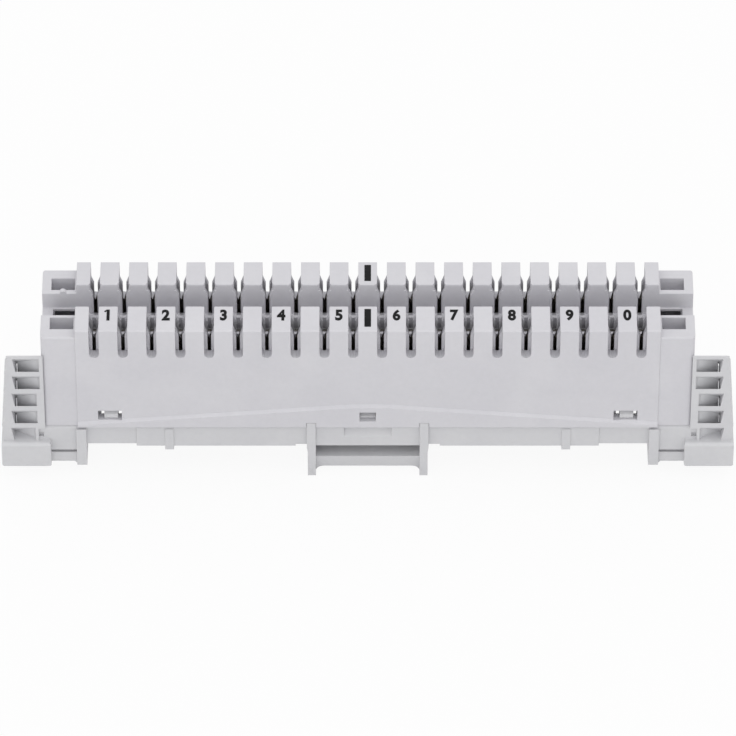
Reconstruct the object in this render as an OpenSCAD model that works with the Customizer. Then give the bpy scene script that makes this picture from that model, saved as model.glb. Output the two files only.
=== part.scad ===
// Ten-pair punch down wiring block: an upper housing with two rows of slotted teeth,
// a lower housing with wire guides, feet and a centre bracket, and a pair of contact
// springs under every wire slot. Millimetres, +Z up, front towards -Y, and the origin
// at the middle of the plane that the centre bracket stands on.

/* [Strip] */
// Number of wire pairs, with two slots for each pair in each row
pairs = 10; // [6:1:10]
// Distance from one wire slot to the next
wire_pitch = 4.8; // [4.4:0.1:6]
// Reach of the end teeth past the centre of the last slot
end_reach = 3.13; // [2.8:0.01:4]
// Length of each end block beside the teeth
end_length = 5.77; // [5.6:0.01:8]
// Height of the upper housing
body_height = 22.6; // [20:0.1:30]
// Height of the upper housing's lower edge above the bracket's feet
stand_height = 10.95; // [10:0.05:14]
// Width of the plug channel between the two rows
channel_width = 5.2; // [4.6:0.1:7]
// Depth of the plug channel below the tooth tops
channel_depth = 6.8; // [6:0.1:8]
// Height of the tooth tops above the end blocks
end_drop = 2; // [1:0.1:3]
// Depth of the plug channel below the tooth tops at the end blocks
end_channel_depth = 5.35; // [4:0.05:6.5]

/* [Teeth and slots] */
// Gap between two teeth
gap_width = 1.66; // [1.4:0.02:2]
// Depth of the wire groove in the outer face, front to back
groove_depth = 1.9; // [1:0.1:2.4]
// Depth of the groove's round bottom below the tooth tops
groove_drop = 6.5; // [5:0.1:8]
// How much deeper the grooves of the rear row are
rear_groove_extra = 0.7; // [0:0.1:1]
// Thickness of the slit wall behind the groove
slit_wall = 0.85; // [0.6:0.05:1.2]
// Thickness of the wall between a contact and the plug channel
inner_wall = 0.9; // [0.6:0.05:1.2]
// Width of the slit that grips the wire in the outer wall
slit_width = 0.62; // [0.4:0.02:0.9]
// Width of the slit in the channel wall
inner_slit_width = 0.66; // [0.4:0.02:0.9]
// Depth of both slits below the tooth tops
slit_drop = 7.4; // [5:0.1:8]
// Depth at which the funnel above a slit starts
funnel_drop = 1.5; // [1:0.1:2]
// Height of the funnel in the outer wall
funnel_height = 1.55; // [1:0.05:2]
// Height of the funnel in the channel wall
inner_funnel_height = 1.15; // [0.8:0.05:2]
// Reach of the channel-side slits into the channel's floor
slit_toe = 0.3; // [0.2:0.05:0.6]
// Bevel on the channel-side edges of the gaps and slits
slit_bevel = 0.3; // [0.2:0.05:0.4]
// Fall of the tooth tops towards the outer face
tooth_fall = 0.25; // [0:0.05:0.5]
// Width of the falling part of the tooth tops
tooth_fall_width = 2.6; // [1:0.1:4]

/* [Upper housing] */
// Chamfer on the edges of the teeth and the housings
edge = 0.2; // [0.1:0.05:0.4]
// Radius of the upright corners of the end blocks
corner_radius = 0.8; // [0.4:0.1:1.5]
// Step of the tooth field's face in front of the end blocks
field_step = 0.15; // [0.05:0.05:0.3]
// Step of the chevron band in front of the end blocks
band_step = 0.6; // [0.4:0.05:0.8]
// Height of the chevron band at its ends
band_end_height = 1.25; // [1:0.05:2]
// Height of the chevron band in the middle
band_mid_height = 5.35; // [4:0.05:7]
// Length of the level stretch in the middle of the chevron
band_mid_length = 5; // [2:0.5:10]
// Thickness of the walls round the lower housing's plinth
skirt_wall = 1.4; // [1.2:0.1:2]
// Height of the plinth inside the upper housing
plinth_height = 4.2; // [4:0.1:5]
// Play between the plinth and the walls round it
fit_gap = 0.15; // [0.1:0.05:0.25]
// Play beside the bracket's tabs
tab_gap = 0.06; // [0.05:0.01:0.15]
// Chamfer on both sides of the seam between the housings
seam = 0.35; // [0.1:0.05:0.5]

/* [End blocks] */
// Length of the pockets in the end blocks
pocket_length = 3.95; // [3:0.05:4.4]
// Width of the pockets, front to back
pocket_width = 2.8; // [2:0.1:3]
// Depth of the pockets
pocket_depth = 3.2; // [2.5:0.1:4]
// Thickness of the rim between a pocket and the plug channel
pocket_rim = 0.75; // [0.6:0.05:1]
// Thickness of the rim between a pocket and the teeth
pocket_side = 0.3; // [0.2:0.05:0.5]
// Length of the hole in the channel's floor at each end
end_hole_length = 3.7; // [3:0.1:4]
// Rim left beside that hole in the channel's floor
end_hole_rim = 0.35; // [0.3:0.05:0.6]
// Thickness of the floor round that hole, over the hollow of the end block
end_floor_thickness = 0.5; // [0.4:0.1:1.5]
// Radius of the nub on the rear left pocket's rim
nub_radius = 0.35; // [0.2:0.05:0.4]

/* [Contacts] */
// Thickness of the contact metal
metal = 0.4; // [0.3:0.05:0.5]
// Width of a contact's blade
blade_width = 2.4; // [2:0.1:3]
// Angle of the blade to the row
blade_angle = 45; // [40:1:50]
// Play between a blade and its cavity, front to back
blade_gap = 0.11; // [0.1:0.01:0.2]
// Length of a cavity along the row
cavity_length = 3.5; // [3:0.1:3.8]
// Depth of the cavity's roof below the tooth tops
cavity_drop = 3; // [2.9:0.1:4]
// Depth of the blade's tips below the tooth tops
blade_drop = 4.2; // [4:0.1:5]
// Width of the gap in the blade that cuts into the wire
fork_gap = 0.3; // [0.2:0.05:0.4]
// Length of that gap
fork_depth = 5.6; // [5:0.1:7]
// Width of the blade's lead-in at its tips
lead_width = 1.3; // [1:0.1:1.6]
// Bevel on the outer corners of the tips
tip_bevel = 0.4; // [0.3:0.05:0.5]
// Height of the lead-in
lead_height = 1.1; // [0.8:0.1:1.5]
// Width of the contact's tail
tail_width = 1.6; // [1:0.1:2]
// Bevel of the tail's bends
bend = 1; // [0.8:0.1:1.4]
// Play beside and above the tail in its cavity
tail_gap = 0.25; // [0.2:0.05:0.4]
// Thickness of the plug channel's floor
floor_thickness = 1.5; // [1:0.1:2]
// Length along the row of the plug slots in that floor
plug_slot_length = 1.2; // [0.8:0.1:1.6]
// Width of the plug slots, front to back
plug_slot_width = 3.4; // [2:0.1:4]

/* [Snap windows] */
// Length of the outer snap windows
window_length = 4; // [3:0.1:5]
// Height of the snap windows
window_height = 2.1; // [1.8:0.1:2.4]
// Height of the windows' lower edge above the upper housing's edge
window_rise = 1.75; // [1.5:0.05:2]
// Distance from the end of the teeth to the middle of an outer window
window_inset = 5.45; // [4:0.05:8]
// Length of the middle snap window
mid_window_length = 2.7; // [2:0.1:4]
// Length of the outer latch noses
nose_length = 2.3; // [1.5:0.1:3]
// Height of the outer latch noses
nose_height = 1.6; // [1:0.1:1.8]
// Height of the middle latch nose
mid_nose_height = 0.8; // [0.6:0.1:1.4]
// Distance of the outer noses from the middle of their windows
nose_offset = 0.2; // [0:0.05:0.4]
// Depth of a nose's face behind the end blocks' face
nose_back = 0.2; // [0.1:0.05:0.5]
// Width of the slits beside a latch finger
finger_slit = 0.6; // [0.4:0.1:1]
// Width of the slit behind a latch finger
back_slit = 0.4; // [0.3:0.05:0.5]

/* [Lower housing] */
// Height of the base strip under the upper housing
base_height = 4.5; // [4:0.1:6]
// Thickness of the lower housing's walls
base_wall = 1.4; // [1.2:0.1:2]
// Relief under the base strip beside the bracket
mid_relief = 0.4; // [0.2:0.05:0.6]
// Length of that relief
relief_length = 1.9; // [1:0.1:4]
// Relief under the base strip beside the legs
end_relief = 0.35; // [0.2:0.05:0.6]
// Length of that relief, from the legs
end_length_low = 8.4; // [4:0.1:12]
// Distance of the rib below the base strip from the legs
rib_inset = 13.2; // [10:0.1:20]
// Length of that rib along the strip
rib_length = 1.5; // [1:0.1:3]
// Drop of that rib below the base strip
rib_drop = 0.75; // [0.4:0.05:1]
// Step of that rib in front of the base strip
rib_step = 0.15; // [0.1:0.05:0.3]
// Step back of the base strip beside the legs
strip_step = 0.2; // [0.1:0.05:0.4]
// Thickness of the plinth's top
plinth_top = 1.5; // [1.2:0.1:2]
// Thickness of the ribs inside
rib = 1.2; // [0.8:0.1:2]
// Length of the lug sockets along the strip
socket_length = 4.3; // [4.2:0.05:5]
// Thickness of the inner legs
leg_thickness = 1.7; // [1.2:0.1:2.5]
// Height of the inner legs' feet above the bracket's feet
leg_rise = 2.4; // [1:0.1:3]
// Step of the legs in front of the end blocks
leg_step = 0.5; // [0.3:0.05:0.8]
// Height of the outer feet above the bracket's feet
foot_rise = 3; // [2.5:0.1:4]
// Height of an outer foot
foot_height = 5.15; // [4:0.05:6]
// Length of an outer foot
foot_length = 8.3; // [7:0.1:10]
// Step of the outer feet in front of the end blocks
foot_step = 1.4; // [1:0.1:2]
// Radius of the outer feet's corners
foot_radius = 0.4; // [0.3:0.1:1]
// Radius along the outer feet's upper front and rear edges
foot_brow = 0.6; // [0.3:0.1:1]
// Height of the bars across the sockets
bar_height = 2.05; // [1.5:0.05:2.5]
// Height of the bars' lower edge below the outer feet
bar_drop = 0.15; // [0:0.05:0.5]
// Height of the slot between a bar and the socket's wall above it
bar_slot = 0.6; // [0.4:0.1:1.2]

/* [Wire guides] */
// Number of windows in each wire guide
guide_windows = 5; // [3:1:5]
// Distance from one window to the next
guide_pitch = 4; // [3.8:0.05:4.2]
// Height of a window
guide_window_height = 2.9; // [2:0.05:3]
// Thickness of the top rung
guide_top = 0.45; // [0.4:0.05:1.5]
// Step of the wire guides in front of the end blocks
guide_step = 0.4; // [0.2:0.05:0.6]
// Thickness of the wire guides, front to back
guide_depth = 4.4; // [3:0.1:6]
// Fall of the rungs towards the back, in degrees
guide_fall = 50; // [45:1:60]
// Distance of the guides' outer edge from the strip's middle, beside the top window
guide_reach = 60.35; // [60:0.05:64]
// How much further out that edge is beside each lower window
guide_spread = 0.25; // [0:0.05:0.4]
// Reach of the barbs on that edge, one at each rung
guide_barb = 0.35; // [0.2:0.05:0.6]
// Distance from a window at which the edge starts to rise to a barb
guide_barb_length = 0.6; // [0.3:0.1:0.9]
// Thickness of the outer post beside the top window
guide_post = 1.05; // [1:0.05:2]
// How much further out each lower window reaches
window_spread = 0.16; // [0:0.02:0.3]
// Lean of the post's inner side within one window
guide_lean = 0.45; // [0.2:0.05:0.8]
// Distance from the upper housing to the two upper windows
guide_inner = 0.35; // [0.1:0.05:1]
// How much further from it the windows below those two start
inner_step = 0.6; // [0:0.1:0.8]
// How much further again the lowest window starts
last_step = 0.4; // [0.2:0.1:0.6]
// Length of the slope that a window starts with
scoop_length = 0.9; // [0.5:0.1:1.5]
// Depth of a window where that slope ends
scoop_start = 1; // [0.5:0.1:1.5]
// Depth of a window beside the post
scoop_depth = 2.4; // [1.5:0.1:3]
// Length of a window's way out to the back, beside the post
guide_exit = 0.7; // [0.5:0.1:2]
// Width of the level lip along the top rung
guide_lip = 0.4; // [0.2:0.1:1]
// Reach of the guides over the upper housing's round corners
guide_lap = 0.3; // [0.2:0.05:0.4]
// Depth of the notch in the base strip's end, above the outer foot
end_notch = 0.5; // [0.3:0.1:0.8]

/* [Centre bracket] */
// Half width of the bracket between its legs
bracket_half = 8.75; // [7:0.05:12]
// Thickness of the bracket's legs
bracket_leg = 1.5; // [1.2:0.1:2]
// Height of the bracket's opening above its feet
opening_rise = 3.95; // [3.5:0.05:5]
// Height of the bracket's opening
opening_height = 2.55; // [2:0.05:4]
// Height of the arch under the bracket's floor
arch_height = 1.05; // [0.5:0.05:2.5]
// Radius of the arch's corners
arch_radius = 1.4; // [0.8:0.1:2]
// Lean of the bracket floor's faces, from top to feet
floor_lean = 0.9; // [0.3:0.1:1.5]
// Step in the legs' outer sides below the base strip
leg_taper = 0.14; // [0.1:0.02:0.4]
// Height of the tabs that the legs reach into the chevron band
tab_height = 1.3; // [1:0.1:2]
// Half width of the release notch
notch_half = 4; // [3:0.1:5]
// Height of the release notch
notch_height = 2.35; // [1.5:0.05:3]
// Depth of the release notch
notch_depth = 1.2; // [0.8:0.1:1.3]

/* [Hidden] */
$fn = 48;
over = 1;

slots = 2 * pairs;
field_length = (slots - 1) * wire_pitch + 2 * end_reach;
body_length = field_length + 2 * end_length;
field_x = field_length / 2;
body_x = body_length / 2;

cavity_width = (blade_width + metal) * cos(45) + 2 * blade_gap;
row_depth = groove_depth + slit_wall + cavity_width + inner_wall;
channel_y = channel_width / 2;
field_y = channel_y + row_depth;
face_y = field_y - field_step;
band_y = face_y + band_step;
groove_y = field_y - groove_depth;
cavity_out_y = groove_y - slit_wall;
cavity_in_y = channel_y + inner_wall;
contact_y = (cavity_out_y + cavity_in_y) / 2;

body_z = stand_height;
top_z = body_z + body_height;
end_top_z = top_z - end_drop;
floor_z = top_z - channel_depth;
end_floor_z = top_z - end_channel_depth;
cavity_top_z = top_z - cavity_drop;
plinth_z = body_z + plinth_height;
recess_z = plinth_z + 0.1;
recess_x = body_x - skirt_wall - 0.6;
recess_y = face_y - skirt_wall;
plinth_x = recess_x - fit_gap;
plinth_y = recess_y - fit_gap;

pocket_x = field_x + pocket_side;
pocket_y = channel_y + pocket_rim;

tail_y = 1.6;
tail_top_z = floor_z - floor_thickness;
tail_cavity = tail_width + 2 * tail_gap;
tail_run_z = plinth_z + metal + bend + 2 * tail_gap;

window_x = field_x - window_inset;
window_z = body_z + window_rise;

base_z = body_z - base_height;
leg_y = face_y + leg_step;
foot_y = face_y + foot_step;
guide_y = face_y + guide_step;
bracket_y = band_y;
bracket_x = bracket_half + bracket_leg;
socket_x = body_x - 1.15 - socket_length;
leg_x = socket_x - leg_thickness;
socket_roof_z = body_z - 1.2;
foot_x = socket_x + socket_length;
foot_top_z = foot_rise + foot_height;
end_hollow_z = end_floor_z - end_floor_thickness;
opening_z = opening_rise + opening_height;
guide_top_z = foot_top_z + guide_windows * guide_pitch
              - (guide_pitch - guide_window_height) + guide_top;

// Middle of each window, middle, length and height of its nose
LATCHES = [[-window_x, nose_offset - window_x, nose_length, nose_height],
           [0, 0, mid_window_length - 0.1, mid_nose_height],
           [window_x, window_x + nose_offset, nose_length, nose_height]];
PLASTIC = [0.80, 0.79, 0.81];
BASE_PLASTIC = [0.79, 0.79, 0.80];
METAL = [0.75, 0.74, 0.70];

function two(i) = i < 10 ? str("0", i) : str(i);
function slot_x(i) = (i - (slots - 1) / 2) * wire_pitch;
function mirrored(points) = concat(points,
    [for (i = [len(points) - 1:-1:0]) [-points[i][0], points[i][1]]]);

// Draws a profile in the Y-Z plane and extends it along X
module along_x(from, to) {
    translate([from, 0, 0])
        rotate([90, 0, 90])
            linear_extrude(to - from)
                children();
}

// Draws a profile in the X-Z plane and extends it along Y
module along_y(from, to) {
    translate([0, to, 0])
        rotate([90, 0, 0])
            linear_extrude(to - from)
                children();
}

// A box from two opposite corners
module block(low, high) {
    translate(low)
        cube(high - low);
}

// Repeats what is at the front at the rear
module both_sides() {
    children();
    mirror([0, 1, 0])
        children();
}

// Repeats what is at the right end at the left end
module both_ends() {
    children();
    mirror([1, 0, 0])
        children();
}

// ---------------------------------------------------------------- upper housing

// Cross-section through the tooth rows and the plug channel
module field_section() {
    polygon(mirrored([
        [-field_y, body_z],
        [-field_y, top_z - tooth_fall - edge],
        [-field_y + edge, top_z - tooth_fall],
        [-field_y + tooth_fall_width, top_z],
        [-channel_y - edge, top_z],
        [-channel_y, top_z - edge],
        [-channel_y, floor_z]]));
}

// Cross-section through the end blocks
module end_section() {
    polygon(mirrored([
        [-face_y + seam, body_z],
        [-face_y, body_z + seam],
        [-face_y, end_top_z - edge],
        [-face_y + edge, end_top_z],
        [-channel_y - edge, end_top_z],
        [-channel_y, end_top_z - edge],
        [-channel_y, end_floor_z]]));
}

// Plan of the whole body with round upright corners
module body_plan() {
    square([body_length - 2 * corner_radius, 2 * face_y], center = true);
    square([body_length, 2 * (face_y - corner_radius)], center = true);
    for (x = [-1, 1], y = [-1, 1])
        translate([x * (body_x - corner_radius), y * (face_y - corner_radius)])
            circle(corner_radius);
}

module end_blocks() {
    intersection() {
        along_x(-body_x, body_x)
            end_section();
        translate([0, 0, body_z - over])
            linear_extrude(body_height + 2 * over)
                body_plan();
    }
}

// The chevron band: low at its ends, level in the middle, with a sloping upper edge
module chevron_band() {
    reach = field_x;
    mid = band_mid_length / 2;
    rise = atan((band_mid_height - band_end_height) / (reach - mid));
    depth = band_step - field_step;
    difference() {
        along_y(-band_y, -face_y + seam + edge)
            polygon([
                [-reach, body_z],
                [-reach, body_z + band_end_height],
                [-mid, body_z + band_mid_height],
                [mid, body_z + band_mid_height],
                [reach, body_z + band_end_height],
                [reach, body_z]]);
        for (side = [-1, 1])
            translate([side * mid, -band_y, body_z + band_mid_height - depth])
                rotate([0, side * rise, 0])
                    band_chamfer(side < 0 ? -reach - over : -edge, side < 0 ? edge : reach + over, depth);
        translate([0, -band_y, body_z + band_mid_height - depth])
            band_chamfer(-mid - edge, mid + edge, depth);
        along_x(-reach - over, reach + over)
            polygon([
                [-band_y - over, body_z - over],
                [-band_y - over, body_z + seam + over],
                [-band_y + seam + over, body_z - over]]);
    }
}

module band_chamfer(from, to, depth) {
    along_x(from, to)
        polygon([[-over, -over], [-over, depth + over], [depth + over, depth + over]]);
}

// Slit with a funnel above it, open at the top
module slit_profile(width, funnel) {
    polygon([
        [-width / 2, top_z - slit_drop],
        [-width / 2, top_z - funnel_drop - funnel],
        [-gap_width / 2, top_z - funnel_drop],
        [-gap_width / 2, top_z + over],
        [gap_width / 2, top_z + over],
        [gap_width / 2, top_z - funnel_drop],
        [width / 2, top_z - funnel_drop - funnel],
        [width / 2, top_z - slit_drop]]);
}

// Round-bottomed groove in the outer face
module groove_profile(extra) {
    radius = gap_width / 2;
    translate([0, top_z - groove_drop - extra + radius])
        circle(radius, $fn = 12);
    translate([-radius, top_z - groove_drop - extra + radius])
        square([gap_width, groove_drop + extra]);
}

// Bevel beside a gap or a slit of that width, between two heights of the channel's wall
module channel_bevel(width, low, high) {
    translate([0, 0, low])
        linear_extrude(high - low)
            polygon([
                [-width / 2 - slit_bevel - 0.1, -channel_y + 0.1],
                [-width / 2, -channel_y - slit_bevel],
                [width / 2, -channel_y - slit_bevel],
                [width / 2 + slit_bevel + 0.1, -channel_y + 0.1]]);
}

// Everything cut for the wires of one row, and the cavities of its contacts
module row_cuts(extra) {
    along_y(-band_y - over, -groove_y)
        for (i = [0:slots - 1])
            translate([slot_x(i), 0])
                groove_profile(extra);
    along_y(-groove_y - 0.01, -cavity_out_y)
        for (i = [0:slots - 1])
            translate([slot_x(i), 0])
                slit_profile(slit_width, funnel_height);
    along_y(-cavity_out_y, -cavity_in_y)
        for (i = [0:slots - 1])
            translate([slot_x(i), 0]) {
                translate([-gap_width / 2, cavity_top_z - over])
                    square([gap_width, cavity_drop + 2 * over]);
                translate([-cavity_length / 2, body_z])
                    square([cavity_length, cavity_top_z - body_z]);
            }
    along_y(-cavity_in_y, -channel_y + slit_toe)
        for (i = [0:slots - 1])
            translate([slot_x(i), 0])
                slit_profile(inner_slit_width, inner_funnel_height);
    for (i = [0:slots - 1])
        translate([slot_x(i), 0, 0]) {
            channel_bevel(gap_width, top_z - funnel_drop, top_z + over);
            channel_bevel(inner_slit_width, floor_z, top_z - funnel_drop - inner_funnel_height);
        }
}

// The room that the contacts' tails cross the housing in, and the plug slots above
module tail_cavities() {
    for (i = [0:slots - 1])
        translate([slot_x(i), 0, 0]) {
            block([-tail_cavity / 2, -cavity_out_y, body_z],
                  [tail_cavity / 2, cavity_out_y, tail_run_z]);
            block([-tail_cavity / 2, -tail_y, body_z],
                  [tail_cavity / 2, tail_y, tail_top_z]);
            block([-plug_slot_length / 2, -plug_slot_width / 2, tail_top_z - over],
                  [plug_slot_length / 2, plug_slot_width / 2, floor_z + over]);
        }
}

// Pockets in the end blocks, the hole in the channel's floor and the hollow under them
module end_pockets() {
    both_ends() {
        both_sides()
            block([pocket_x, -pocket_y - pocket_width, end_top_z - pocket_depth],
                  [pocket_x + pocket_length, -pocket_y, end_top_z + over]);
        block([pocket_x, -channel_y + end_hole_rim, end_hollow_z - over],
              [pocket_x + end_hole_length, channel_y - end_hole_rim, end_floor_z + over]);
        block([pocket_x, -recess_y, body_z], [recess_x, recess_y, end_hollow_z]);
    }
}

module snap_windows() {
    for (latch = LATCHES) {
        length = latch[0] == 0 ? mid_window_length : window_length;
        both_sides()
            block([latch[0] - length / 2, -band_y - over, window_z],
                  [latch[0] + length / 2, -recess_y + over, window_z + window_height]);
    }
}

// Notches in the chevron band for the tabs of the bracket's legs
module tab_notches() {
    both_ends()
        both_sides()
            block([bracket_half - tab_gap, -band_y - over, body_z - over],
                  [bracket_x + tab_gap, -face_y, body_z + tab_height + tab_gap]);
}

module upper_housing() {
    color(PLASTIC) {
        difference() {
            union() {
                along_x(-field_x, field_x)
                    field_section();
                end_blocks();
                both_sides()
                    chevron_band();
            }
            block([-field_x, -channel_y, floor_z], [field_x, channel_y, top_z + over]);
            block([-recess_x, -recess_y, body_z - over], [recess_x, recess_y, recess_z]);
            row_cuts(0);
            mirror([0, 1, 0])
                row_cuts(rear_groove_extra);
            tail_cavities();
            end_pockets();
            snap_windows();
            tab_notches();
        }
        translate([-pocket_x - pocket_length / 2, pocket_y, end_top_z - edge])
            rotate([90, 0, 0])
                cylinder(r = nub_radius + edge, h = pocket_rim);
    }
}

// ---------------------------------------------------------------- contacts

// Flat blade with a gap between two tines, seen square on
module blade_profile() {
    half = blade_width / 2;
    tip_z = top_z - blade_drop;
    polygon([
        [-half, tail_run_z],
        [-half, tip_z - lead_height],
        [-half + tip_bevel, tip_z],
        [-lead_width / 2, tip_z],
        [-fork_gap / 2, tip_z - lead_height],
        [-fork_gap / 2, tip_z - fork_depth],
        [fork_gap / 2, tip_z - fork_depth],
        [fork_gap / 2, tip_z - lead_height],
        [lead_width / 2, tip_z],
        [half - tip_bevel, tip_z],
        [half, tip_z - lead_height],
        [half, tail_run_z]]);
}

// Side view of the tail: down from the blade, across, and up to the contact point
module tail_profile() {
    low = plinth_z;
    rise_y = -1.5 * metal;
    point_z = tail_top_z - 1.6;
    thin = metal * (sqrt(2) - 1);
    polygon([
        [-contact_y - metal / 2, tail_run_z + 2],
        [-contact_y - metal / 2, low + bend],
        [-contact_y - metal / 2 + bend, low],
        [rise_y + metal / 2 - bend, low],
        [rise_y + metal / 2, low + bend],
        [rise_y + metal / 2, point_z - 0.6],
        [0, point_z - 0.3],
        [0, point_z + 0.3],
        [rise_y + metal / 2, point_z + 1.2],
        [rise_y - metal / 2, point_z + 1.2],
        [-metal, point_z + 0.2],
        [-metal, point_z - 0.2],
        [rise_y - metal / 2, point_z - 0.5],
        [rise_y - metal / 2, low + bend + thin],
        [rise_y + metal / 2 - bend - thin, low + metal],
        [-contact_y - metal / 2 + bend + thin, low + metal],
        [-contact_y + metal / 2, low + bend + thin],
        [-contact_y + metal / 2, tail_run_z + 2]]);
}

module contact() {
    color(METAL) {
        translate([0, -contact_y, 0])
            rotate([0, 0, blade_angle])
                along_y(-metal / 2, metal / 2)
                    blade_profile();
        along_x(-tail_width / 2, tail_width / 2)
            tail_profile();
    }
}

// ---------------------------------------------------------------- lower housing

// Front view of the base strip's right half, with its shallow steps
module base_profile() {
    mid = base_z + mid_relief;
    end = base_z + end_relief;
    polygon([
        [0, body_z - seam],
        [0, opening_z - 0.1],
        [bracket_half + 0.1, opening_z - 0.1],
        [bracket_x, mid],
        [bracket_x + relief_length, mid],
        [bracket_x + relief_length, base_z],
        [leg_x - end_length_low, base_z],
        [leg_x - end_length_low, end],
        [leg_x + over, end],
        [leg_x + over, body_z - seam]]);
}

// Solid outline of the strip under the upper housing and of the plinth inside it
module base_outline() {
    rib_x = leg_x - rib_inset;
    strip_x = leg_x - end_length_low;
    block([-plinth_x, -plinth_y, base_z + mid_relief], [plinth_x, plinth_y, plinth_z]);
    both_ends()
        both_sides() {
            difference() {
                along_y(-face_y, -face_y + base_wall)
                    base_profile();
                block([strip_x, -face_y - over, base_z], [leg_x, -face_y + strip_step, body_z]);
            }
            block([rib_x - rib_length, -face_y - rib_step, base_z - rib_drop],
                  [rib_x, -face_y + base_wall, body_z - seam - rib_step]);
        }
    difference() {
        along_x(-body_x, body_x)
            polygon(mirrored([
                [-face_y, base_z + mid_relief],
                [-face_y, body_z - seam],
                [-face_y + seam, body_z]]));
        both_ends()
            both_sides()
                block([strip_x, -face_y - over, base_z], [leg_x, -face_y + strip_step, body_z]);
    }
}

// Cells that core the base from below, with ribs between them
module base_cells() {
    cells = 9;
    reach = leg_x - rib;
    step = (2 * reach + rib) / cells;
    for (i = [0:cells - 1]) {
        low = -reach + i * step;
        high = low + step - rib;
        if (abs(low + high) / 2 > bracket_x)
            block([low, -face_y + base_wall, -over],
                  [high, face_y - base_wall, body_z - rib]);
    }
    both_ends()
        both_sides()
            block([bracket_x + rib, -plinth_y + base_wall, body_z - rib - over],
                  [leg_x - rib, -rib / 2, plinth_z - plinth_top]);
}

module latch_noses() {
    for (latch = LATCHES)
        both_sides()
            translate([latch[1], 0, 0])
                along_x(-latch[2] / 2, latch[2] / 2)
                    polygon([
                        [-plinth_y + over, window_z + 0.1],
                        [-face_y + nose_back, window_z + 0.1],
                        [-face_y + nose_back, window_z + latch[3] / 2 + 0.1],
                        [-plinth_y, window_z + latch[3] + 0.25],
                        [-plinth_y + over, window_z + latch[3] + 0.25]]);
}

// Slits beside and behind the latch fingers, which free them from the plinth
module finger_slits() {
    back = -plinth_y + base_wall;
    for (latch = LATCHES)
        both_sides()
            translate([latch[1], 0, 0]) {
                half = latch[2] / 2;
                for (side = [-1, 1])
                    translate([side * (half + finger_slit / 2), 0, 0])
                        block([-finger_slit / 2, -plinth_y - over, body_z + edge],
                              [finger_slit / 2, back + back_slit, plinth_z + over]);
                block([-half, back, body_z + edge], [half, back + back_slit, plinth_z + over]);
            }
}

// Inner leg, socket wall and bar at the right end
module end_frame() {
    low = foot_rise - bar_drop;
    block([leg_x, -leg_y, leg_rise], [socket_x, leg_y, body_z - edge - 0.1]);
    both_sides() {
        block([socket_x - 0.1, -face_y, low + bar_height + bar_slot],
              [foot_x + 0.1, -face_y + base_wall, base_z + over]);
        along_y(-face_y, -face_y + base_wall)
            polygon([
                [socket_x - 0.1, low + bar_height],
                [socket_x - 0.1, leg_rise],
                [socket_x, leg_rise],
                [socket_x + low - leg_rise, low],
                [foot_x + 0.1, low],
                [foot_x + 0.1, low + bar_height]]);
    }
}

// Front view of an outer foot with round lower and upper corners
module foot_profile() {
    translate([foot_x + foot_radius, foot_rise])
        square([foot_length - 2 * foot_radius, foot_height]);
    translate([foot_x, foot_rise + foot_radius])
        square([foot_length, foot_height - 2 * foot_radius]);
    for (x = [foot_radius, foot_length - foot_radius], z = [foot_radius, foot_height - foot_radius])
        translate([foot_x + x, foot_rise + z])
            circle(foot_radius);
}

// Side view of an outer foot with round upper edges
module foot_section() {
    centre = foot_y - foot_brow;
    translate([-foot_y, foot_rise])
        square([2 * foot_y, foot_height - foot_brow]);
    translate([-centre, foot_rise])
        square([2 * centre, foot_height]);
    for (side = [-1, 1])
        translate([side * centre, foot_top_z - foot_brow])
            circle(foot_brow);
}

module outer_foot() {
    difference() {
        intersection() {
            along_y(-foot_y, foot_y)
                foot_profile();
            along_x(foot_x - over, foot_x + foot_length + over)
                foot_section();
        }
        block([foot_x + base_wall, -foot_y + base_wall, foot_rise - over],
              [foot_x + foot_length - base_wall, foot_y - base_wall, foot_top_z - base_wall]);
    }
}

// Lower edge, inner end and outer end of a wire guide's window, counted from the top
function window_low(i) = guide_top_z - guide_top - guide_window_height - i * guide_pitch;
function window_start(i) = body_x + guide_inner + (i > 1 ? inner_step : 0)
                           + (i == guide_windows - 1 ? last_step : 0);
function window_reach(i) = guide_reach - guide_post + i * window_spread;

// Front view of a wire guide: a plate whose outer edge carries a barb at every rung
module guide_profile() {
    rung = guide_pitch - guide_window_height;
    last = guide_windows - 1;
    polygon(concat(
        [[body_x, foot_top_z - over],
         [body_x, guide_top_z],
         [guide_reach - guide_lip, guide_top_z],
         [guide_reach, guide_top_z - guide_lip]],
        [for (i = [0:last - 1], k = [0:3])
            k == 0 ? [guide_reach + i * guide_spread, window_low(i) + guide_barb_length] :
            k == 1 ? [guide_reach + i * guide_spread + guide_barb, window_low(i) - rung / 4] :
            k == 2 ? [guide_reach + i * guide_spread + guide_barb, window_low(i) - rung / 2] :
                     [guide_reach + (i + 1) * guide_spread, window_low(i) - rung - guide_barb_length]],
        [[guide_reach + last * guide_spread, foot_top_z - over]]));
}

// Side view of one window's slanted cut, whose floor falls away towards the back
module window_section(i) {
    low = window_low(i);
    high = low + guide_window_height;
    fall = tan(guide_fall);
    back = guide_depth + over;
    polygon([
        [-guide_y - over, low + fall * over],
        [-guide_y - over, high + fall * over],
        [-guide_y + back, high - fall * back],
        [-guide_y + back, low - fall * back]]);
}

// Outer limit of one window, leaning in towards its lower edge
module window_limit(i) {
    low = window_low(i);
    reach = window_reach(i);
    polygon([
        [body_x, low - guide_depth * 2],
        [body_x, low + guide_depth * 2],
        [reach, low + guide_depth * 2],
        [reach, low + guide_window_height],
        [reach - guide_lean, low],
        [reach - guide_lean, low - guide_depth * 2]]);
}

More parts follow.
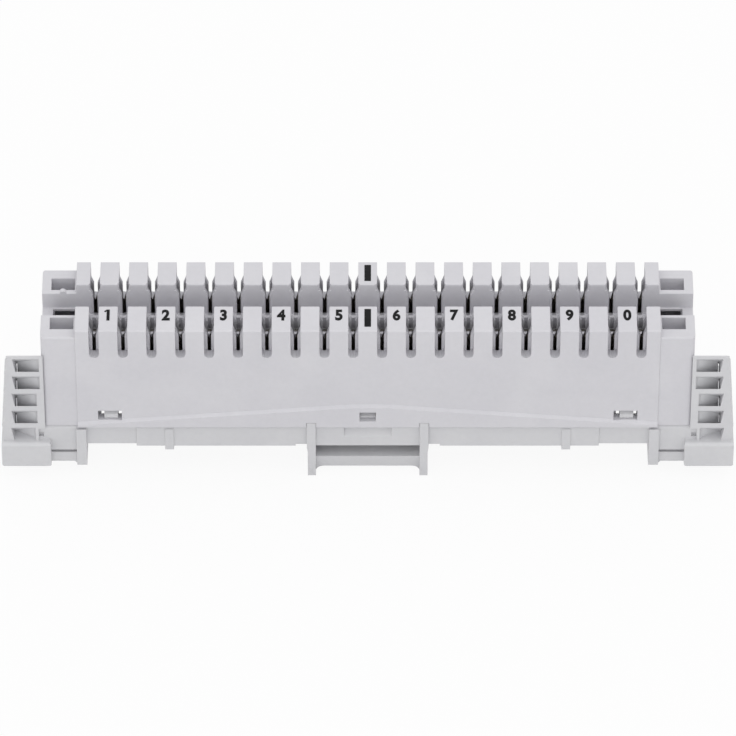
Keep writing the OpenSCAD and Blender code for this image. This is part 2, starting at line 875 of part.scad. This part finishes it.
// Plan of a window: it curves in from the front, deepens towards the post and opens at the back
module window_plan(i) {
    start = window_start(i);
    way_out = window_reach(i) - guide_exit;
    far = window_reach(i) + over;
    polygon([
        [start, -guide_y - over],
        [start, -guide_y],
        [start + scoop_length / 8, -guide_y + scoop_start * 0.4],
        [start + scoop_length * 0.4, -guide_y + scoop_start * 0.75],
        [start + scoop_length, -guide_y + scoop_start],
        [way_out, -guide_y + scoop_depth],
        [way_out, -guide_y + guide_depth + over],
        [far, -guide_y + guide_depth + over],
        [far, -guide_y - over]]);
}

module guide_window(i) {
    intersection() {
        along_x(body_x - over, guide_reach + 2 * over)
            window_section(i);
        translate([0, 0, foot_top_z + 0.02])
            linear_extrude(guide_top_z)
                window_plan(i);
        along_y(-guide_y - 2 * over, guide_y)
            window_limit(i);
    }
}

// Lip that covers the upper housing's round corner
module guide_cover() {
    translate([0, 0, foot_top_z - over])
        linear_extrude(guide_top_z - foot_top_z + over)
            polygon([
                [body_x - guide_lap, -guide_y],
                [body_x - guide_lap, -face_y - fit_gap],
                [body_x - 0.05, -face_y + guide_lap],
                [body_x + 0.05, -face_y + guide_lap],
                [body_x + 0.05, -guide_y]]);
}

// Recess beside the strip's end, and the notch in it above the outer foot
module end_steps() {
    block([foot_x, -guide_y - over, foot_top_z],
          [body_x + guide_inner + inner_step - 0.1, -face_y, body_z - seam / 2]);
    block([foot_x, -guide_y - over, foot_top_z + end_notch],
          [body_x + guide_inner + inner_step - 0.1, -face_y + end_notch, foot_top_z + 3 * end_notch]);
}

module wire_guide() {
    fall = tan(guide_fall);
    difference() {
        union() {
            along_y(-guide_y, -guide_y + guide_depth)
                guide_profile();
            guide_cover();
        }
        along_x(body_x - over, guide_reach + 2 * over)
            polygon([
                [-guide_y + guide_lip, guide_top_z],
                [-guide_y + guide_lip, guide_top_z + over],
                [-guide_y + guide_depth + over, guide_top_z + over],
                [-guide_y + guide_depth + over, guide_top_z - fall * (guide_depth + over - guide_lip)]]);
        for (i = [0:guide_windows - 1])
            guide_window(i);
        end_steps();
    }
}

// Front view of a bracket's leg: a little thicker where it leaves the base strip
module bracket_leg_profile() {
    polygon([
        [bracket_half, 0],
        [bracket_half, body_z - seam],
        [bracket_x, body_z - seam],
        [bracket_x, base_z],
        [bracket_x - leg_taper, base_z - over],
        [bracket_x - leg_taper, 0]]);
}

// Side view of the bracket's floor, whose faces lean back towards the lower edge
module bracket_floor_section() {
    polygon(mirrored([
        [-face_y + floor_lean, 0],
        [-face_y, opening_rise]]));
}

// Front view of the arch under the bracket's floor
module bracket_arch() {
    reach = bracket_half - arch_radius;
    translate([-reach, -over])
        square([2 * reach, arch_height + over]);
    for (side = [-1, 1])
        translate([side * reach, arch_height - arch_radius])
            circle(arch_radius);
}

module centre_bracket() {
    both_ends() {
        along_y(-bracket_y, bracket_y)
            bracket_leg_profile();
        both_sides()
            block([bracket_half, -bracket_y, body_z - seam - 0.1],
                  [bracket_x, -face_y - 0.02, body_z + tab_height]);
    }
    difference() {
        along_x(-bracket_half - 0.1, bracket_half + 0.1)
            bracket_floor_section();
        along_y(-bracket_y, bracket_y)
            bracket_arch();
    }
}

// Scoop under the upper housing's edge, for the blade that frees the middle latch
module release_notch() {
    both_sides()
        along_x(-notch_half, notch_half)
            polygon([
                [-face_y - over, body_z + over],
                [-face_y + notch_depth, body_z + over],
                [-face_y + notch_depth, body_z - seam],
                [-face_y - 0.01, body_z - notch_height],
                [-face_y - over, body_z - notch_height]]);
}

module lower_housing() {
    color(BASE_PLASTIC)
        difference() {
            union() {
                difference() {
                    base_outline();
                    base_cells();
                }
                centre_bracket();
                both_ends() {
                    end_frame();
                    outer_foot();
                    wire_guide();
                }
                latch_noses();
            }
            both_ends()
                block([socket_x, -face_y + base_wall, -over],
                      [foot_x, face_y - base_wall, socket_roof_z]);
            block([-bracket_half, -bracket_y - over, opening_rise],
                  [bracket_half, bracket_y + over, opening_z]);
            release_notch();
            finger_slits();
        }
}

module numbered_contact(i, rear) {
    translate([slot_x(i - 1), 0, 0])
        if (rear)
            rotate([0, 0, 180])
                contact();
        else
            contact();
}

upper_housing();
lower_housing();
for (i = [1:slots]) {
    numbered_contact(i, false);
    numbered_contact(i, true);
}
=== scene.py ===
"""Visual model of a ten-pair punch down wiring block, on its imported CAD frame.

The two housings and the contact springs are the CAD nodes themselves, dressed
here in their real materials. What a pad printer adds to the finished mouldings,
the ten digits and the two marks, is modelled here. All lengths in the dataclasses
are in millimetres.
"""
import logging
import math
from dataclasses import dataclass, field
from enum import Enum
from typing import Iterable

import bpy
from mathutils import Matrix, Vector


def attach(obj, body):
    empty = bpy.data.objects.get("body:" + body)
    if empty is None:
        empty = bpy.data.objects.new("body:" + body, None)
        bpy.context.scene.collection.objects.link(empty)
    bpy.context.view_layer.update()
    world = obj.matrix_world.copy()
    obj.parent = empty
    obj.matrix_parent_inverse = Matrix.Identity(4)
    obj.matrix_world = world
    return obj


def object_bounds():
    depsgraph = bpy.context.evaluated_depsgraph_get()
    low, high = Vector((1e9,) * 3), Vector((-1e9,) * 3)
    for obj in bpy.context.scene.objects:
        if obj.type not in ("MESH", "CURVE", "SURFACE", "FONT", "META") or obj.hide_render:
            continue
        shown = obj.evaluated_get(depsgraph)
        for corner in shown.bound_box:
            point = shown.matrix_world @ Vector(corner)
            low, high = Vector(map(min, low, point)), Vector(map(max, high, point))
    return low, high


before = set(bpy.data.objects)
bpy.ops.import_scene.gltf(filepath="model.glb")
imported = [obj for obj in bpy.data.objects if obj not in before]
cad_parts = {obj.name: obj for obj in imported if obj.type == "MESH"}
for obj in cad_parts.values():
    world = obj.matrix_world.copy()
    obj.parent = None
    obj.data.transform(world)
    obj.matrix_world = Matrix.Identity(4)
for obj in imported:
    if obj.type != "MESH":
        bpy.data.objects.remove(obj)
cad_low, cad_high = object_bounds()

logging.basicConfig(level=logging.INFO, format="%(name)s: %(message)s")
log = logging.getLogger("wiring_block")

MM = 0.001
# Shorter than any edge of a print, in metres
HAIR = 1e-7


# ---------------------------------------------------------------- helpers


def linear(code: str, alpha: float = 1.0) -> tuple[float, float, float, float]:
    """Turns an sRGB hex colour to the linear values that a shader takes.

    Args:
        code: The colour, such as "#cbcacf".
        alpha: The fourth value.

    Returns:
        Red, green, blue and alpha.
    """
    parts = [int(code[i : i + 2], 16) / 255 for i in (1, 3, 5)]
    red, green, blue = (
        p / 12.92 if p <= 0.04045 else ((p + 0.055) / 1.055) ** 2.4 for p in parts
    )
    return red, green, blue, alpha


def add_node(
    tree: bpy.types.NodeTree,
    kind: str,
    settings: dict[str, object] | None = None,
    inputs: dict[str | int, object] | None = None,
) -> bpy.types.Node:
    """Adds one shader node.

    Args:
        tree: The node tree that takes it.
        kind: The node's type, such as "ShaderNodeTexNoise".
        settings: Properties of the node itself.
        inputs: For each input, a value or the output socket that feeds it.

    Returns:
        The new node.
    """
    node = tree.nodes.new(kind)
    for name, value in (settings or {}).items():
        setattr(node, name, value)
    for name, value in (inputs or {}).items():
        if isinstance(value, bpy.types.NodeSocket):
            tree.links.new(value, node.inputs[name])
        else:
            node.inputs[name].default_value = value
    return node


def spread(
    tree: bpy.types.NodeTree,
    value: bpy.types.NodeSocket,
    taken: tuple[float, float],
    given: tuple[float, float] = (0.0, 1.0),
) -> bpy.types.NodeSocket:
    """Stretches one range of a value over another, and stops at its ends.

    Args:
        tree: The node tree.
        value: The value.
        taken: The range that is read.
        given: The range that comes out.

    Returns:
        The stretched value.
    """
    node = add_node(
        tree,
        "ShaderNodeMapRange",
        inputs={
            "Value": value,
            "From Min": taken[0],
            "From Max": taken[1],
            "To Min": given[0],
            "To Max": given[1],
        },
    )
    return node.outputs["Result"]


def blend(
    tree: bpy.types.NodeTree,
    share: float | bpy.types.NodeSocket,
    first: object,
    second: object,
    kind: str = "MIX",
) -> bpy.types.NodeSocket:
    """Mixes two colours.

    Args:
        tree: The node tree.
        share: How much the second colour counts.
        first: The first colour, as a value or a socket.
        second: The second colour, as a value or a socket.
        kind: The blend type.

    Returns:
        The mixed colour.
    """
    node = add_node(
        tree,
        "ShaderNodeMix",
        {"data_type": "RGBA", "blend_type": kind},
        {"Factor": share, "A": first, "B": second},
    )
    return node.outputs["Result"]


def noise(
    tree: bpy.types.NodeTree,
    place: bpy.types.NodeSocket,
    size_mm: float,
    **settings: float,
) -> bpy.types.NodeSocket:
    """Draws soft noise through the object.

    Args:
        tree: The node tree.
        place: The coordinates that it is drawn on.
        size_mm: The size of its patches.
        settings: Further inputs of the noise node.

    Returns:
        The noise, from 0 to 1.
    """
    inputs = {"Vector": place, "Scale": 1 / (size_mm * MM), **settings}
    return add_node(tree, "ShaderNodeTexNoise", inputs=inputs).outputs["Fac"]


def new_material(name: str) -> tuple[bpy.types.Material, bpy.types.NodeTree]:
    """Makes a material with an empty node tree.

    Args:
        name: The material's name.

    Returns:
        The material and its tree.
    """
    material = bpy.data.materials.new(name)
    material.use_nodes = True
    material.node_tree.nodes.clear()
    return material, material.node_tree


def dress(piece: bpy.types.Object, material: bpy.types.Material) -> None:
    """Gives every face of a piece one material.

    Args:
        piece: The piece.
        material: Its material.
    """
    piece.data.materials.clear()
    piece.data.materials.append(material)


def deselect() -> None:
    """Leaves object mode with nothing selected."""
    if bpy.context.object and bpy.context.object.mode != "OBJECT":
        bpy.ops.object.mode_set(mode="OBJECT")
    bpy.ops.object.select_all(action="DESELECT")


def pick(piece: bpy.types.Object) -> None:
    """Makes a piece the only selected and the active object.

    Args:
        piece: The piece.
    """
    deselect()
    piece.select_set(True)
    bpy.context.view_layer.objects.active = piece


def settle(piece: bpy.types.Object) -> None:
    """Puts a piece's place into its mesh, so that its object sits at the origin.

    Args:
        piece: The piece.
    """
    pick(piece)
    bpy.ops.object.transform_apply(location=True, rotation=True, scale=True)


# ---------------------------------------------------------------- finishes


@dataclass(frozen=True)
class MouldedPolyester:
    """PBT polyester, injection moulded in a fine spark-eroded tool.

    It gives the eye an even, slightly cool grey with a soft satin sheen. The tool's
    grain breaks the sheen up and the melt leaves broad pale flow marks. Along the edges
    the colour is painted lighter, a painted highlight where the small radii catch the light.
    """

    name: str
    body: str = "#cbcacf"
    flow: str = "#d2d1d5"
    # Painted edge highlight: the colour painted over the rounded edges in place of the light they
    # catch
    edge: str = "#e2e1e4"
    roughness: float = 0.44
    flow_mm: float = 14.0
    speckle_mm: float = 0.9
    speckle_tones: tuple[float, float] = (0.975, 1.02)
    # A spark-eroded grain is about 0.03 mm, too fine to show, so it is drawn at 0.3 mm
    grain_mm: float = 0.3
    grain_depth_mm: float = 0.006
    edge_radius_mm: float = 0.14
    # Share of the painted edge highlight at the sharpest edges
    edge_highlight_share: float = 0.6

    def build(self) -> bpy.types.Material:
        """Makes the material.

        Returns:
            The finished material.
        """
        material, tree = new_material(self.name)
        place = add_node(tree, "ShaderNodeTexCoord").outputs["Object"]
        marks = noise(tree, place, self.flow_mm, Detail=3.0, Distortion=0.6)
        speckle = noise(tree, place, self.speckle_mm, Detail=4.0, Roughness=0.65)
        grain = noise(tree, place, self.grain_mm, Detail=2.0, Roughness=0.6)
        share = spread(tree, marks, (0.35, 0.7), (0.0, 0.75))
        tone = blend(tree, share, linear(self.body), linear(self.flow))
        grey = spread(tree, speckle, (0.25, 0.75), self.speckle_tones)
        toned = blend(tree, 1.0, tone, grey, "MULTIPLY")
        rounded = add_node(
            tree, "ShaderNodeBevel", {"samples": 6}, {"Radius": self.edge_radius_mm * MM}
        )
        flat = add_node(tree, "ShaderNodeNewGeometry")
        facing = add_node(
            tree,
            "ShaderNodeVectorMath",
            {"operation": "DOT_PRODUCT"},
            {0: rounded.outputs["Normal"], 1: flat.outputs["Normal"]},
        )
        # Painted highlight: the colour turns lighter where the rounded edge normal leaves the flat
        # face
        painted_edge_highlight = spread(tree, facing.outputs["Value"], (0.99, 0.8), (0.0, self.edge_highlight_share))
        low, high = self.roughness - 0.05, self.roughness + 0.06
        relief = add_node(
            tree,
            "ShaderNodeBump",
            inputs={
                "Strength": 0.5,
                "Distance": self.grain_depth_mm * MM,
                "Height": grain,
                "Normal": rounded.outputs["Normal"],
            },
        )
        shader = add_node(
            tree,
            "ShaderNodeBsdfPrincipled",
            inputs={
                "Base Color": blend(tree, painted_edge_highlight, toned, linear(self.edge)),
                "Roughness": spread(tree, speckle, (0.3, 0.7), (low, high)),
                "Normal": relief.outputs["Normal"],
                "IOR": 1.55,
            },
        )
        add_node(tree, "ShaderNodeOutputMaterial", inputs={"Surface": shader.outputs["BSDF"]})
        return material


@dataclass(frozen=True)
class SilveredBrass:
    """Brass strip, stamped to shape and silver plated.

    It gives the eye a warm grey metal, a little dull, with the rolling lines of the
    strip and a thin brown tarnish that comes in patches.
    """

    name: str
    plate: str = "#a8a49c"
    tarnish: str = "#5c554a"
    patch_mm: float = 2.5
    # Rolling lines are under 0.02 mm apart and are drawn at 0.12 mm to show
    line_mm: float = 0.12
    line_depth_mm: float = 0.004

    def build(self) -> bpy.types.Material:
        """Makes the material.

        Returns:
            The finished material.
        """
        material, tree = new_material(self.name)
        place = add_node(tree, "ShaderNodeTexCoord").outputs["Object"]
        patches = noise(tree, place, self.patch_mm, Detail=4.0)
        share = spread(tree, patches, (0.45, 0.75), (0.0, 0.7))
        along = add_node(
            tree, "ShaderNodeMapping", inputs={"Vector": place, "Scale": (1.0, 1.0, 0.04)}
        )
        lines = noise(tree, along.outputs["Vector"], self.line_mm, Detail=1.0)
        relief = add_node(
            tree,
            "ShaderNodeBump",
            inputs={"Strength": 0.4, "Distance": self.line_depth_mm * MM, "Height": lines},
        )
        shader = add_node(
            tree,
            "ShaderNodeBsdfPrincipled",
            inputs={
                "Base Color": blend(tree, share, linear(self.plate), linear(self.tarnish)),
                "Metallic": 1.0,
                "Roughness": spread(tree, patches, (0.3, 0.8), (0.24, 0.45)),
                "Normal": relief.outputs["Normal"],
            },
        )
        add_node(tree, "ShaderNodeOutputMaterial", inputs={"Surface": shader.outputs["BSDF"]})
        return material


@dataclass(frozen=True)
class PadPrintInk:
    """Two-part pad printing ink, stamped on by a silicone pad and oven dried.

    It gives the eye a near black with a dull gloss, thinner and greyer where the pad
    lifted off and where the grain of the moulding shows through.
    """

    name: str
    ink: str = "#0d0d0f"
    thin: str = "#1c1c1f"
    patch_mm: float = 0.5
    relief_mm: float = 0.01

    def build(self) -> bpy.types.Material:
        """Makes the material.

        Returns:
            The finished material.
        """
        material, tree = new_material(self.name)
        place = add_node(tree, "ShaderNodeTexCoord").outputs["Object"]
        patches = noise(tree, place, self.patch_mm, Detail=3.0)
        share = spread(tree, patches, (0.5, 0.8))
        relief = add_node(
            tree,
            "ShaderNodeBump",
            inputs={"Strength": 0.3, "Distance": self.relief_mm * MM, "Height": patches},
        )
        shader = add_node(
            tree,
            "ShaderNodeBsdfPrincipled",
            inputs={
                "Base Color": blend(tree, share, linear(self.ink), linear(self.thin)),
                "Roughness": spread(tree, patches, (0.3, 0.7), (0.5, 0.7)),
                "Normal": relief.outputs["Normal"],
                "Specular IOR Level": 0.2,
                "IOR": 1.5,
            },
        )
        add_node(tree, "ShaderNodeOutputMaterial", inputs={"Surface": shader.outputs["BSDF"]})
        return material


@dataclass(frozen=True)
class StudioPaper:
    """Matt white background paper under the strip.

    To the camera and in reflections it is near white and keeps a soft shadow; it
    throws its pale colour back up at the strip.
    """

    name: str
    paper: str = "#e6e6e6"
    white_share: float = 0.92

    def build(self) -> bpy.types.Material:
        """Makes the material.

        Returns:
            The finished material.
        """
        material, tree = new_material(self.name)
        path = add_node(tree, "ShaderNodeLightPath")
        seen = add_node(
            tree,
            "ShaderNodeMath",
            {"operation": "MAXIMUM"},
            {0: path.outputs["Is Camera Ray"], 1: path.outputs["Is Glossy Ray"]},
        )
        seen = add_node(
            tree,
            "ShaderNodeMath",
            {"operation": "MAXIMUM"},
            {0: seen.outputs["Value"], 1: path.outputs["Is Transmission Ray"]},
        )
        share = add_node(
            tree,
            "ShaderNodeMath",
            {"operation": "MULTIPLY"},
            {0: seen.outputs["Value"], 1: self.white_share},
        )
        matt = add_node(tree, "ShaderNodeBsdfDiffuse", inputs={"Color": linear(self.paper)})
        white = add_node(
            tree, "ShaderNodeEmission", inputs={"Color": linear("#ffffff"), "Strength": 1.0}
        )
        both = add_node(
            tree,
            "ShaderNodeMixShader",
            inputs={0: share.outputs["Value"], 1: matt.outputs["BSDF"], 2: white.outputs["Emission"]},
        )
        add_node(tree, "ShaderNodeOutputMaterial", inputs={"Surface": both.outputs["Shader"]})
        return material


# ---------------------------------------------------------------- the strip


class Row(Enum):
    """The two rows of teeth, each with the side of the strip that it stands on."""

    FRONT = -1
    REAR = 1


@dataclass
class Mouldings:
    """The upper and the lower housing, moulded from one grade in two tools."""

    upper: MouldedPolyester = MouldedPolyester("moulded_pbt_upper")
    # The lower housing's edge colour is a painted edge highlight as well
    lower: MouldedPolyester = MouldedPolyester(
        "moulded_pbt_lower", body="#cacacd", flow="#d0d0d2", edge="#e2e2e3", flow_mm=9.0
    )

    def dress(self) -> list[bpy.types.Object]:
        """Gives both housings their plastic.

        Returns:
            The two housings.
        """
        pieces = []
        for node, finish in (("upper_housing", self.upper), ("lower_housing", self.lower)):
            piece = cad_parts[node]
            dress(piece, finish.build())
            pieces.append(piece)
        return pieces


@dataclass
class ContactSprings:
    """The contact springs, one under every wire slot of each row."""

    slots: int = 20
    finish: SilveredBrass = SilveredBrass("stamped_silvered_brass")

    def dress(self) -> list[bpy.types.Object]:
        """Gives every contact spring its plated metal.

        Returns:
            The contact springs.
        """
        material = self.finish.build()
        pieces = []
        for row in Row:
            for i in range(1, self.slots + 1):
                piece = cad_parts[f"contact_{row.name.lower()}_{i:02d}"]
                dress(piece, material)
                pieces.append(piece)
        return pieces


@dataclass
class PadPrint:
    """The pad print on the tooth tops: a digit for each pair and a mark on both rows."""

    top: float = cad_high.z / MM
    field_y: float = 8.45
    fall_width: float = 2.6
    fall: float = 0.25
    edge: float = 0.2
    pitch: float = 4.8
    digit_height: float = 2.6
    digit_width: float = 1.36
    digit_y: float = -4.85
    # Outward offset of the face's outline, in the face's own units
    stroke: float = 0.045
    stem: float = 0.52
    flag: tuple[float, float] = (0.62, 0.3)
    flag_deg: float = 38.0
    # The flag is a hair thinner than the stem, so that no faces coincide where they join
    flag_depth: float = 0.98
    mark_size: tuple[float, float] = (1.1, 4.1)
    mark_y: float = 5.45
    mark_radius: float = 0.08
    above: float = 0.03
    below: float = 0.03
    digits: str = "1234567890"
    finish: PadPrintInk = PadPrintInk("pad_print_ink")
    pieces: list[bpy.types.Object] = field(default_factory=list)

    def crease(self) -> float:
        """Distance of the crease in the tooth tops from the strip's middle plane."""
        return self.field_y - self.fall_width

    def fold(self, piece: bpy.types.Object, row: Row) -> None:
        """Folds a print down over the crease, onto the falling part of the tooth top.

        Args:
            piece: The print, level and in place.
            row: The row that it lies on.
        """
        pick(piece)
        bpy.ops.object.mode_set(mode="EDIT")
        bpy.ops.mesh.select_all(action="SELECT")
        line = row.value * self.crease() * MM
        bpy.ops.mesh.bisect(plane_co=(0, line, 0), plane_no=(0, 1, 0))
        bpy.ops.object.mode_set(mode="OBJECT")
        over = False
        for v in piece.data.vertices:
            v.select = row.value * (v.co.y - line) > HAIR
            over = over or v.select
        for e in piece.data.edges:
            e.select = all(piece.data.vertices[i].select for i in e.vertices)
        for p in piece.data.polygons:
            p.select = all(piece.data.vertices[i].select for i in p.vertices)
        if not over:
            return
        angle = math.atan(self.fall / (self.fall_width - self.edge))
        bpy.ops.object.mode_set(mode="EDIT")
        bpy.ops.mesh.select_mode(type="VERT")
        # With no window the operator turns the other way, so the sign is reversed
        bpy.ops.transform.rotate(
            value=row.value * angle,
            orient_axis="X",
            center_override=(0, line, self.top * MM),
        )
        bpy.ops.object.mode_set(mode="OBJECT")

    def finish_print(self, piece: bpy.types.Object, name: str, row: Row) -> None:
        """Names, folds and fastens one print, and adds it to the prints.

        Args:
            piece: The print, level and in place.
            name: Its name.
            row: The row that it lies on.
        """
        piece.name = name
        piece.data.name = name
        self.fold(piece, row)
        settle(piece)
        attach(piece, "root")
        self.pieces.append(piece)

    def place(self, index: int) -> Vector:
        """Middle of one pair's digit on the tooth tops, in metres.

        Args:
            index: The pair's place along the strip, from 0.

        Returns:
            The middle of the print.
        """
        x = (2 * index + 0.5 - len(self.digits) + 0.5) * self.pitch
        return Vector((x, self.digit_y, self.top + (self.above - self.below) / 2)) * MM

    def digit(self, index: int, figure: str, squeeze: float) -> None:
        """Prints one digit on the tooth between the two slots of its pair.

        The 6 is the 9 turned upside down, whose widened outline stays sound.

        Args:
            index: The pair's place along the strip, from 0.
            figure: The digit.
            squeeze: How much narrower than the face's own width it is printed.
        """
        turned = figure == "6"
        deselect()
        bpy.ops.object.text_add(location=(0, 0, 0), rotation=(0, 0, math.pi if turned else 0))
        piece = bpy.context.object
        piece.data.body = "9" if turned else figure
        piece.data.size = 1.0
        piece.data.offset = self.stroke
        piece.data.extrude = 0.5
        piece.data.resolution_u = 6
        bpy.ops.object.convert(target="MESH")
        piece = bpy.context.object
        settle(piece)
        low, high = self.extent(piece)
        scale = self.digit_height / (high.y - low.y) * MM
        middle = (low + high) / 2
        at = self.place(index)
        piece.scale = (scale * squeeze, scale, (self.above + self.below) * MM)
        piece.location = (at.x - middle.x * scale * squeeze, at.y - middle.y * scale, at.z)
        settle(piece)
        bpy.ops.object.mode_set(mode="EDIT")
        bpy.ops.mesh.select_all(action="SELECT")
        bpy.ops.mesh.remove_doubles(threshold=HAIR)
        bpy.ops.mesh.normals_make_consistent(inside=False)
        bpy.ops.object.mode_set(mode="OBJECT")
        self.finish_print(piece, f"print_digit_{figure}", Row.FRONT)

    def one(self, index: int) -> None:
        """Prints the digit 1, which has an upright stem and a short sloping flag.

        Args:
            index: The pair's place along the strip, from 0.
        """
        at = self.place(index)
        depth = self.above + self.below
        stem = self.bar(at, (self.stem, self.digit_height, depth))
        length, width = self.flag
        turn = math.radians(self.flag_deg)
        down = (length * math.sin(turn) + width * math.cos(turn)) / 2
        offset = Vector(
            (
                width / 2 - self.stem / 2 - length * math.cos(turn) / 2,
                self.digit_height / 2 - down,
                0,
            )
        )
        flag = self.bar(at + offset * MM, (length, width, depth * self.flag_depth), turn)
        pick(stem)
        join = stem.modifiers.new("flag", "BOOLEAN")
        join.operation = "UNION"
        join.object = flag
        bpy.ops.object.modifier_apply(modifier=join.name)
        bpy.data.objects.remove(flag)
        self.finish_print(stem, "print_digit_1", Row.FRONT)

    @staticmethod
    def bar(at: Vector, size: tuple[float, float, float], turn: float = 0.0) -> bpy.types.Object:
        """Makes a flat bar on the tooth tops.

        Args:
            at: Its middle, in metres.
            size: Its width, length and depth.
            turn: Its turn about the upright, in radians.

        Returns:
            The bar, with its place in its mesh.
        """
        deselect()
        bpy.ops.mesh.primitive_cube_add(size=1, location=at, rotation=(0, 0, turn))
        piece = bpy.context.object
        piece.scale = Vector(size) * MM
        settle(piece)
        return piece

    @staticmethod
    def extent(piece: bpy.types.Object) -> tuple[Vector, Vector]:
        """Lowest and highest corner of a piece's own mesh.

        Args:
            piece: The piece.

        Returns:
            The two corners.
        """
        corners = [v.co for v in piece.data.vertices]
        return (
            Vector(min(c[i] for c in corners) for i in range(3)),
            Vector(max(c[i] for c in corners) for i in range(3)),
        )

    def squeeze(self) -> float:
        """Measures how far the face's zero is narrowed to the printed width.

        Returns:
            The factor for all the digits.
        """
        deselect()
        bpy.ops.object.text_add(location=(0, 0, 0))
        sample = bpy.context.object
        sample.data.body = "0"
        sample.data.offset = self.stroke
        bpy.ops.object.convert(target="MESH")
        sample = bpy.context.object
        low, high = self.extent(sample)
        factor = self.digit_width / ((high.x - low.x) * self.digit_height / (high.y - low.y))
        bpy.data.objects.remove(sample)
        return factor

    def mark(self, row: Row) -> None:
        """Prints the plain bar on a row's middle tooth.

        Args:
            row: The row.
        """
        width, length = self.mark_size
        z = self.top + (self.above - self.below) / 2
        at = Vector((0, row.value * self.mark_y, z)) * MM
        piece = self.bar(at, (width, length, self.above + self.below))
        bpy.ops.object.mode_set(mode="EDIT")
        bpy.ops.mesh.select_mode(type="EDGE")
        bpy.ops.mesh.select_all(action="DESELECT")
        bpy.ops.object.mode_set(mode="OBJECT")
        for e in piece.data.edges:
            a, b = (piece.data.vertices[i].co for i in e.vertices)
            e.select = abs(a.z - b.z) > HAIR
        bpy.ops.object.mode_set(mode="EDIT")
        bpy.ops.mesh.bevel(offset=self.mark_radius * MM, segments=3)
        bpy.ops.object.mode_set(mode="OBJECT")
        self.finish_print(piece, f"print_mark_{row.name.lower()}", row)

    def build(self) -> list[bpy.types.Object]:
        """Prints the digits and the marks.

        Returns:
            The prints.
        """
        squeeze = self.squeeze()
        for index, figure in enumerate(self.digits):
            if figure == "1":
                self.one(index)
            else:
                self.digit(index, figure, squeeze)
        for row in Row:
            self.mark(row)
        material = self.finish.build()
        for piece in self.pieces:
            dress(piece, material)
        return self.pieces


# ---------------------------------------------------------------- the studio


class LampPlace(Enum):
    """The studio's soft lamps, each with its place in metres."""

    OVERHEAD = (0.15, -0.25, 1.3)
    FRONT = (-0.25, -1.3, 0.55)
    LEFT = (-1.2, -0.2, 0.5)
    RIGHT = (1.2, -0.2, 0.5)
    BACK = (0.1, 1.2, 0.6)


@dataclass(frozen=True)
class SoftLamp:
    """A square soft box that faces the strip."""

    place: LampPlace
    size: float
    power: float

    def build(self) -> None:
        """Sets the lamp up."""
        deselect()
        at = Vector(self.place.value)
        bpy.ops.object.light_add(type="AREA", location=at)
        lamp = bpy.context.object
        lamp.name = f"lamp_{self.place.name.lower()}"
        lamp.data.shape = "SQUARE"
        lamp.data.size = self.size
        lamp.data.energy = self.power
        lamp.rotation_euler = (Vector((0, 0, 0.015)) - at).to_track_quat("-Z", "Y").to_euler()


@dataclass
class Studio:
    """Paper, lamps, sky and camera."""

    paper: StudioPaper = StudioPaper("studio_paper")
    # Side of the paper, in metres
    paper_size: float = 8.0
    paper_gap: float = 0.05
    sky: float = 0.8
    elevation_deg: float = 44.0
    sensor: float = 36.0
    focal: float = 362.0
    distance: float = 1229.0
    aim: tuple[float, float, float] = (0.05, -8.45, cad_high.z / MM)
    aim_above: float = 6.31
    lamps: tuple[SoftLamp, ...] = (
        SoftLamp(LampPlace.OVERHEAD, 1.2, 3.4),
        SoftLamp(LampPlace.FRONT, 1.0, 3.0),
        SoftLamp(LampPlace.LEFT, 0.9, 1.0),
        SoftLamp(LampPlace.RIGHT, 0.9, 1.0),
        SoftLamp(LampPlace.BACK, 0.9, 1.0),
    )

    def lay_paper(self) -> None:
        """Lays the paper that the strip stands on."""
        deselect()
        bpy.ops.mesh.primitive_plane_add(size=self.paper_size, location=(0, 0, -self.paper_gap * MM))
        paper = bpy.context.object
        paper.name = "studio_paper"
        dress(paper, self.paper.build())

    def hang_sky(self) -> None:
        """Lights the world evenly, and shows it white to the camera."""
        world = bpy.data.worlds.new("studio_sky")
        world.use_nodes = True
        tree = world.node_tree
        tree.nodes.clear()
        path = add_node(tree, "ShaderNodeLightPath")
        seen = add_node(
            tree,
            "ShaderNodeMath",
            {"operation": "MAXIMUM"},
            {0: path.outputs["Is Camera Ray"], 1: path.outputs["Is Transmission Ray"]},
        )
        strength = spread(tree, seen.outputs["Value"], (0.0, 1.0), (self.sky, 1.0))
        sky = add_node(
            tree,
            "ShaderNodeBackground",
            inputs={"Color": linear("#ffffff"), "Strength": strength},
        )
        add_node(tree, "ShaderNodeOutputWorld", inputs={"Surface": sky.outputs["Background"]})
        bpy.context.scene.world = world

    def place_camera(self) -> None:
        """Sets the camera up in front of the strip and above it."""
        deselect()
        bpy.ops.object.camera_add()
        camera = bpy.context.object
        camera.name = "studio_camera"
        camera.data.sensor_width = self.sensor
        camera.data.lens = self.focal
        e = math.radians(self.elevation_deg)
        along = Vector((0, math.cos(e), -math.sin(e)))
        up = Vector((0, math.sin(e), math.cos(e)))
        place = Vector(self.aim) - along * self.distance - up * self.aim_above
        camera.location = place * MM
        camera.rotation_euler = along.to_track_quat("-Z", "Y").to_euler()
        camera.data.clip_start, camera.data.clip_end = 0.05, 20
        bpy.context.scene.camera = camera

    def build(self) -> None:
        """Sets the whole studio up."""
        self.place_camera()
        self.lay_paper()
        self.hang_sky()
        for lamp in self.lamps:
            lamp.build()
        bpy.context.scene.view_settings.view_transform = "Standard"


def report(title: str, pieces: Iterable[bpy.types.Object]) -> None:
    """Logs the pieces of one sub-assembly.

    Args:
        title: The sub-assembly.
        pieces: Its pieces.
    """
    for piece in pieces:
        log.info("%s: %s, %d faces", title, piece.name, len(piece.data.polygons))


def main() -> None:
    """Dresses the CAD pieces, prints the digits and marks, and sets the studio up."""
    Studio().build()
    report("mouldings", Mouldings().dress())
    report("contact springs", ContactSprings().dress())
    report("pad print", PadPrint().build())


if __name__ == "__main__":
    main()
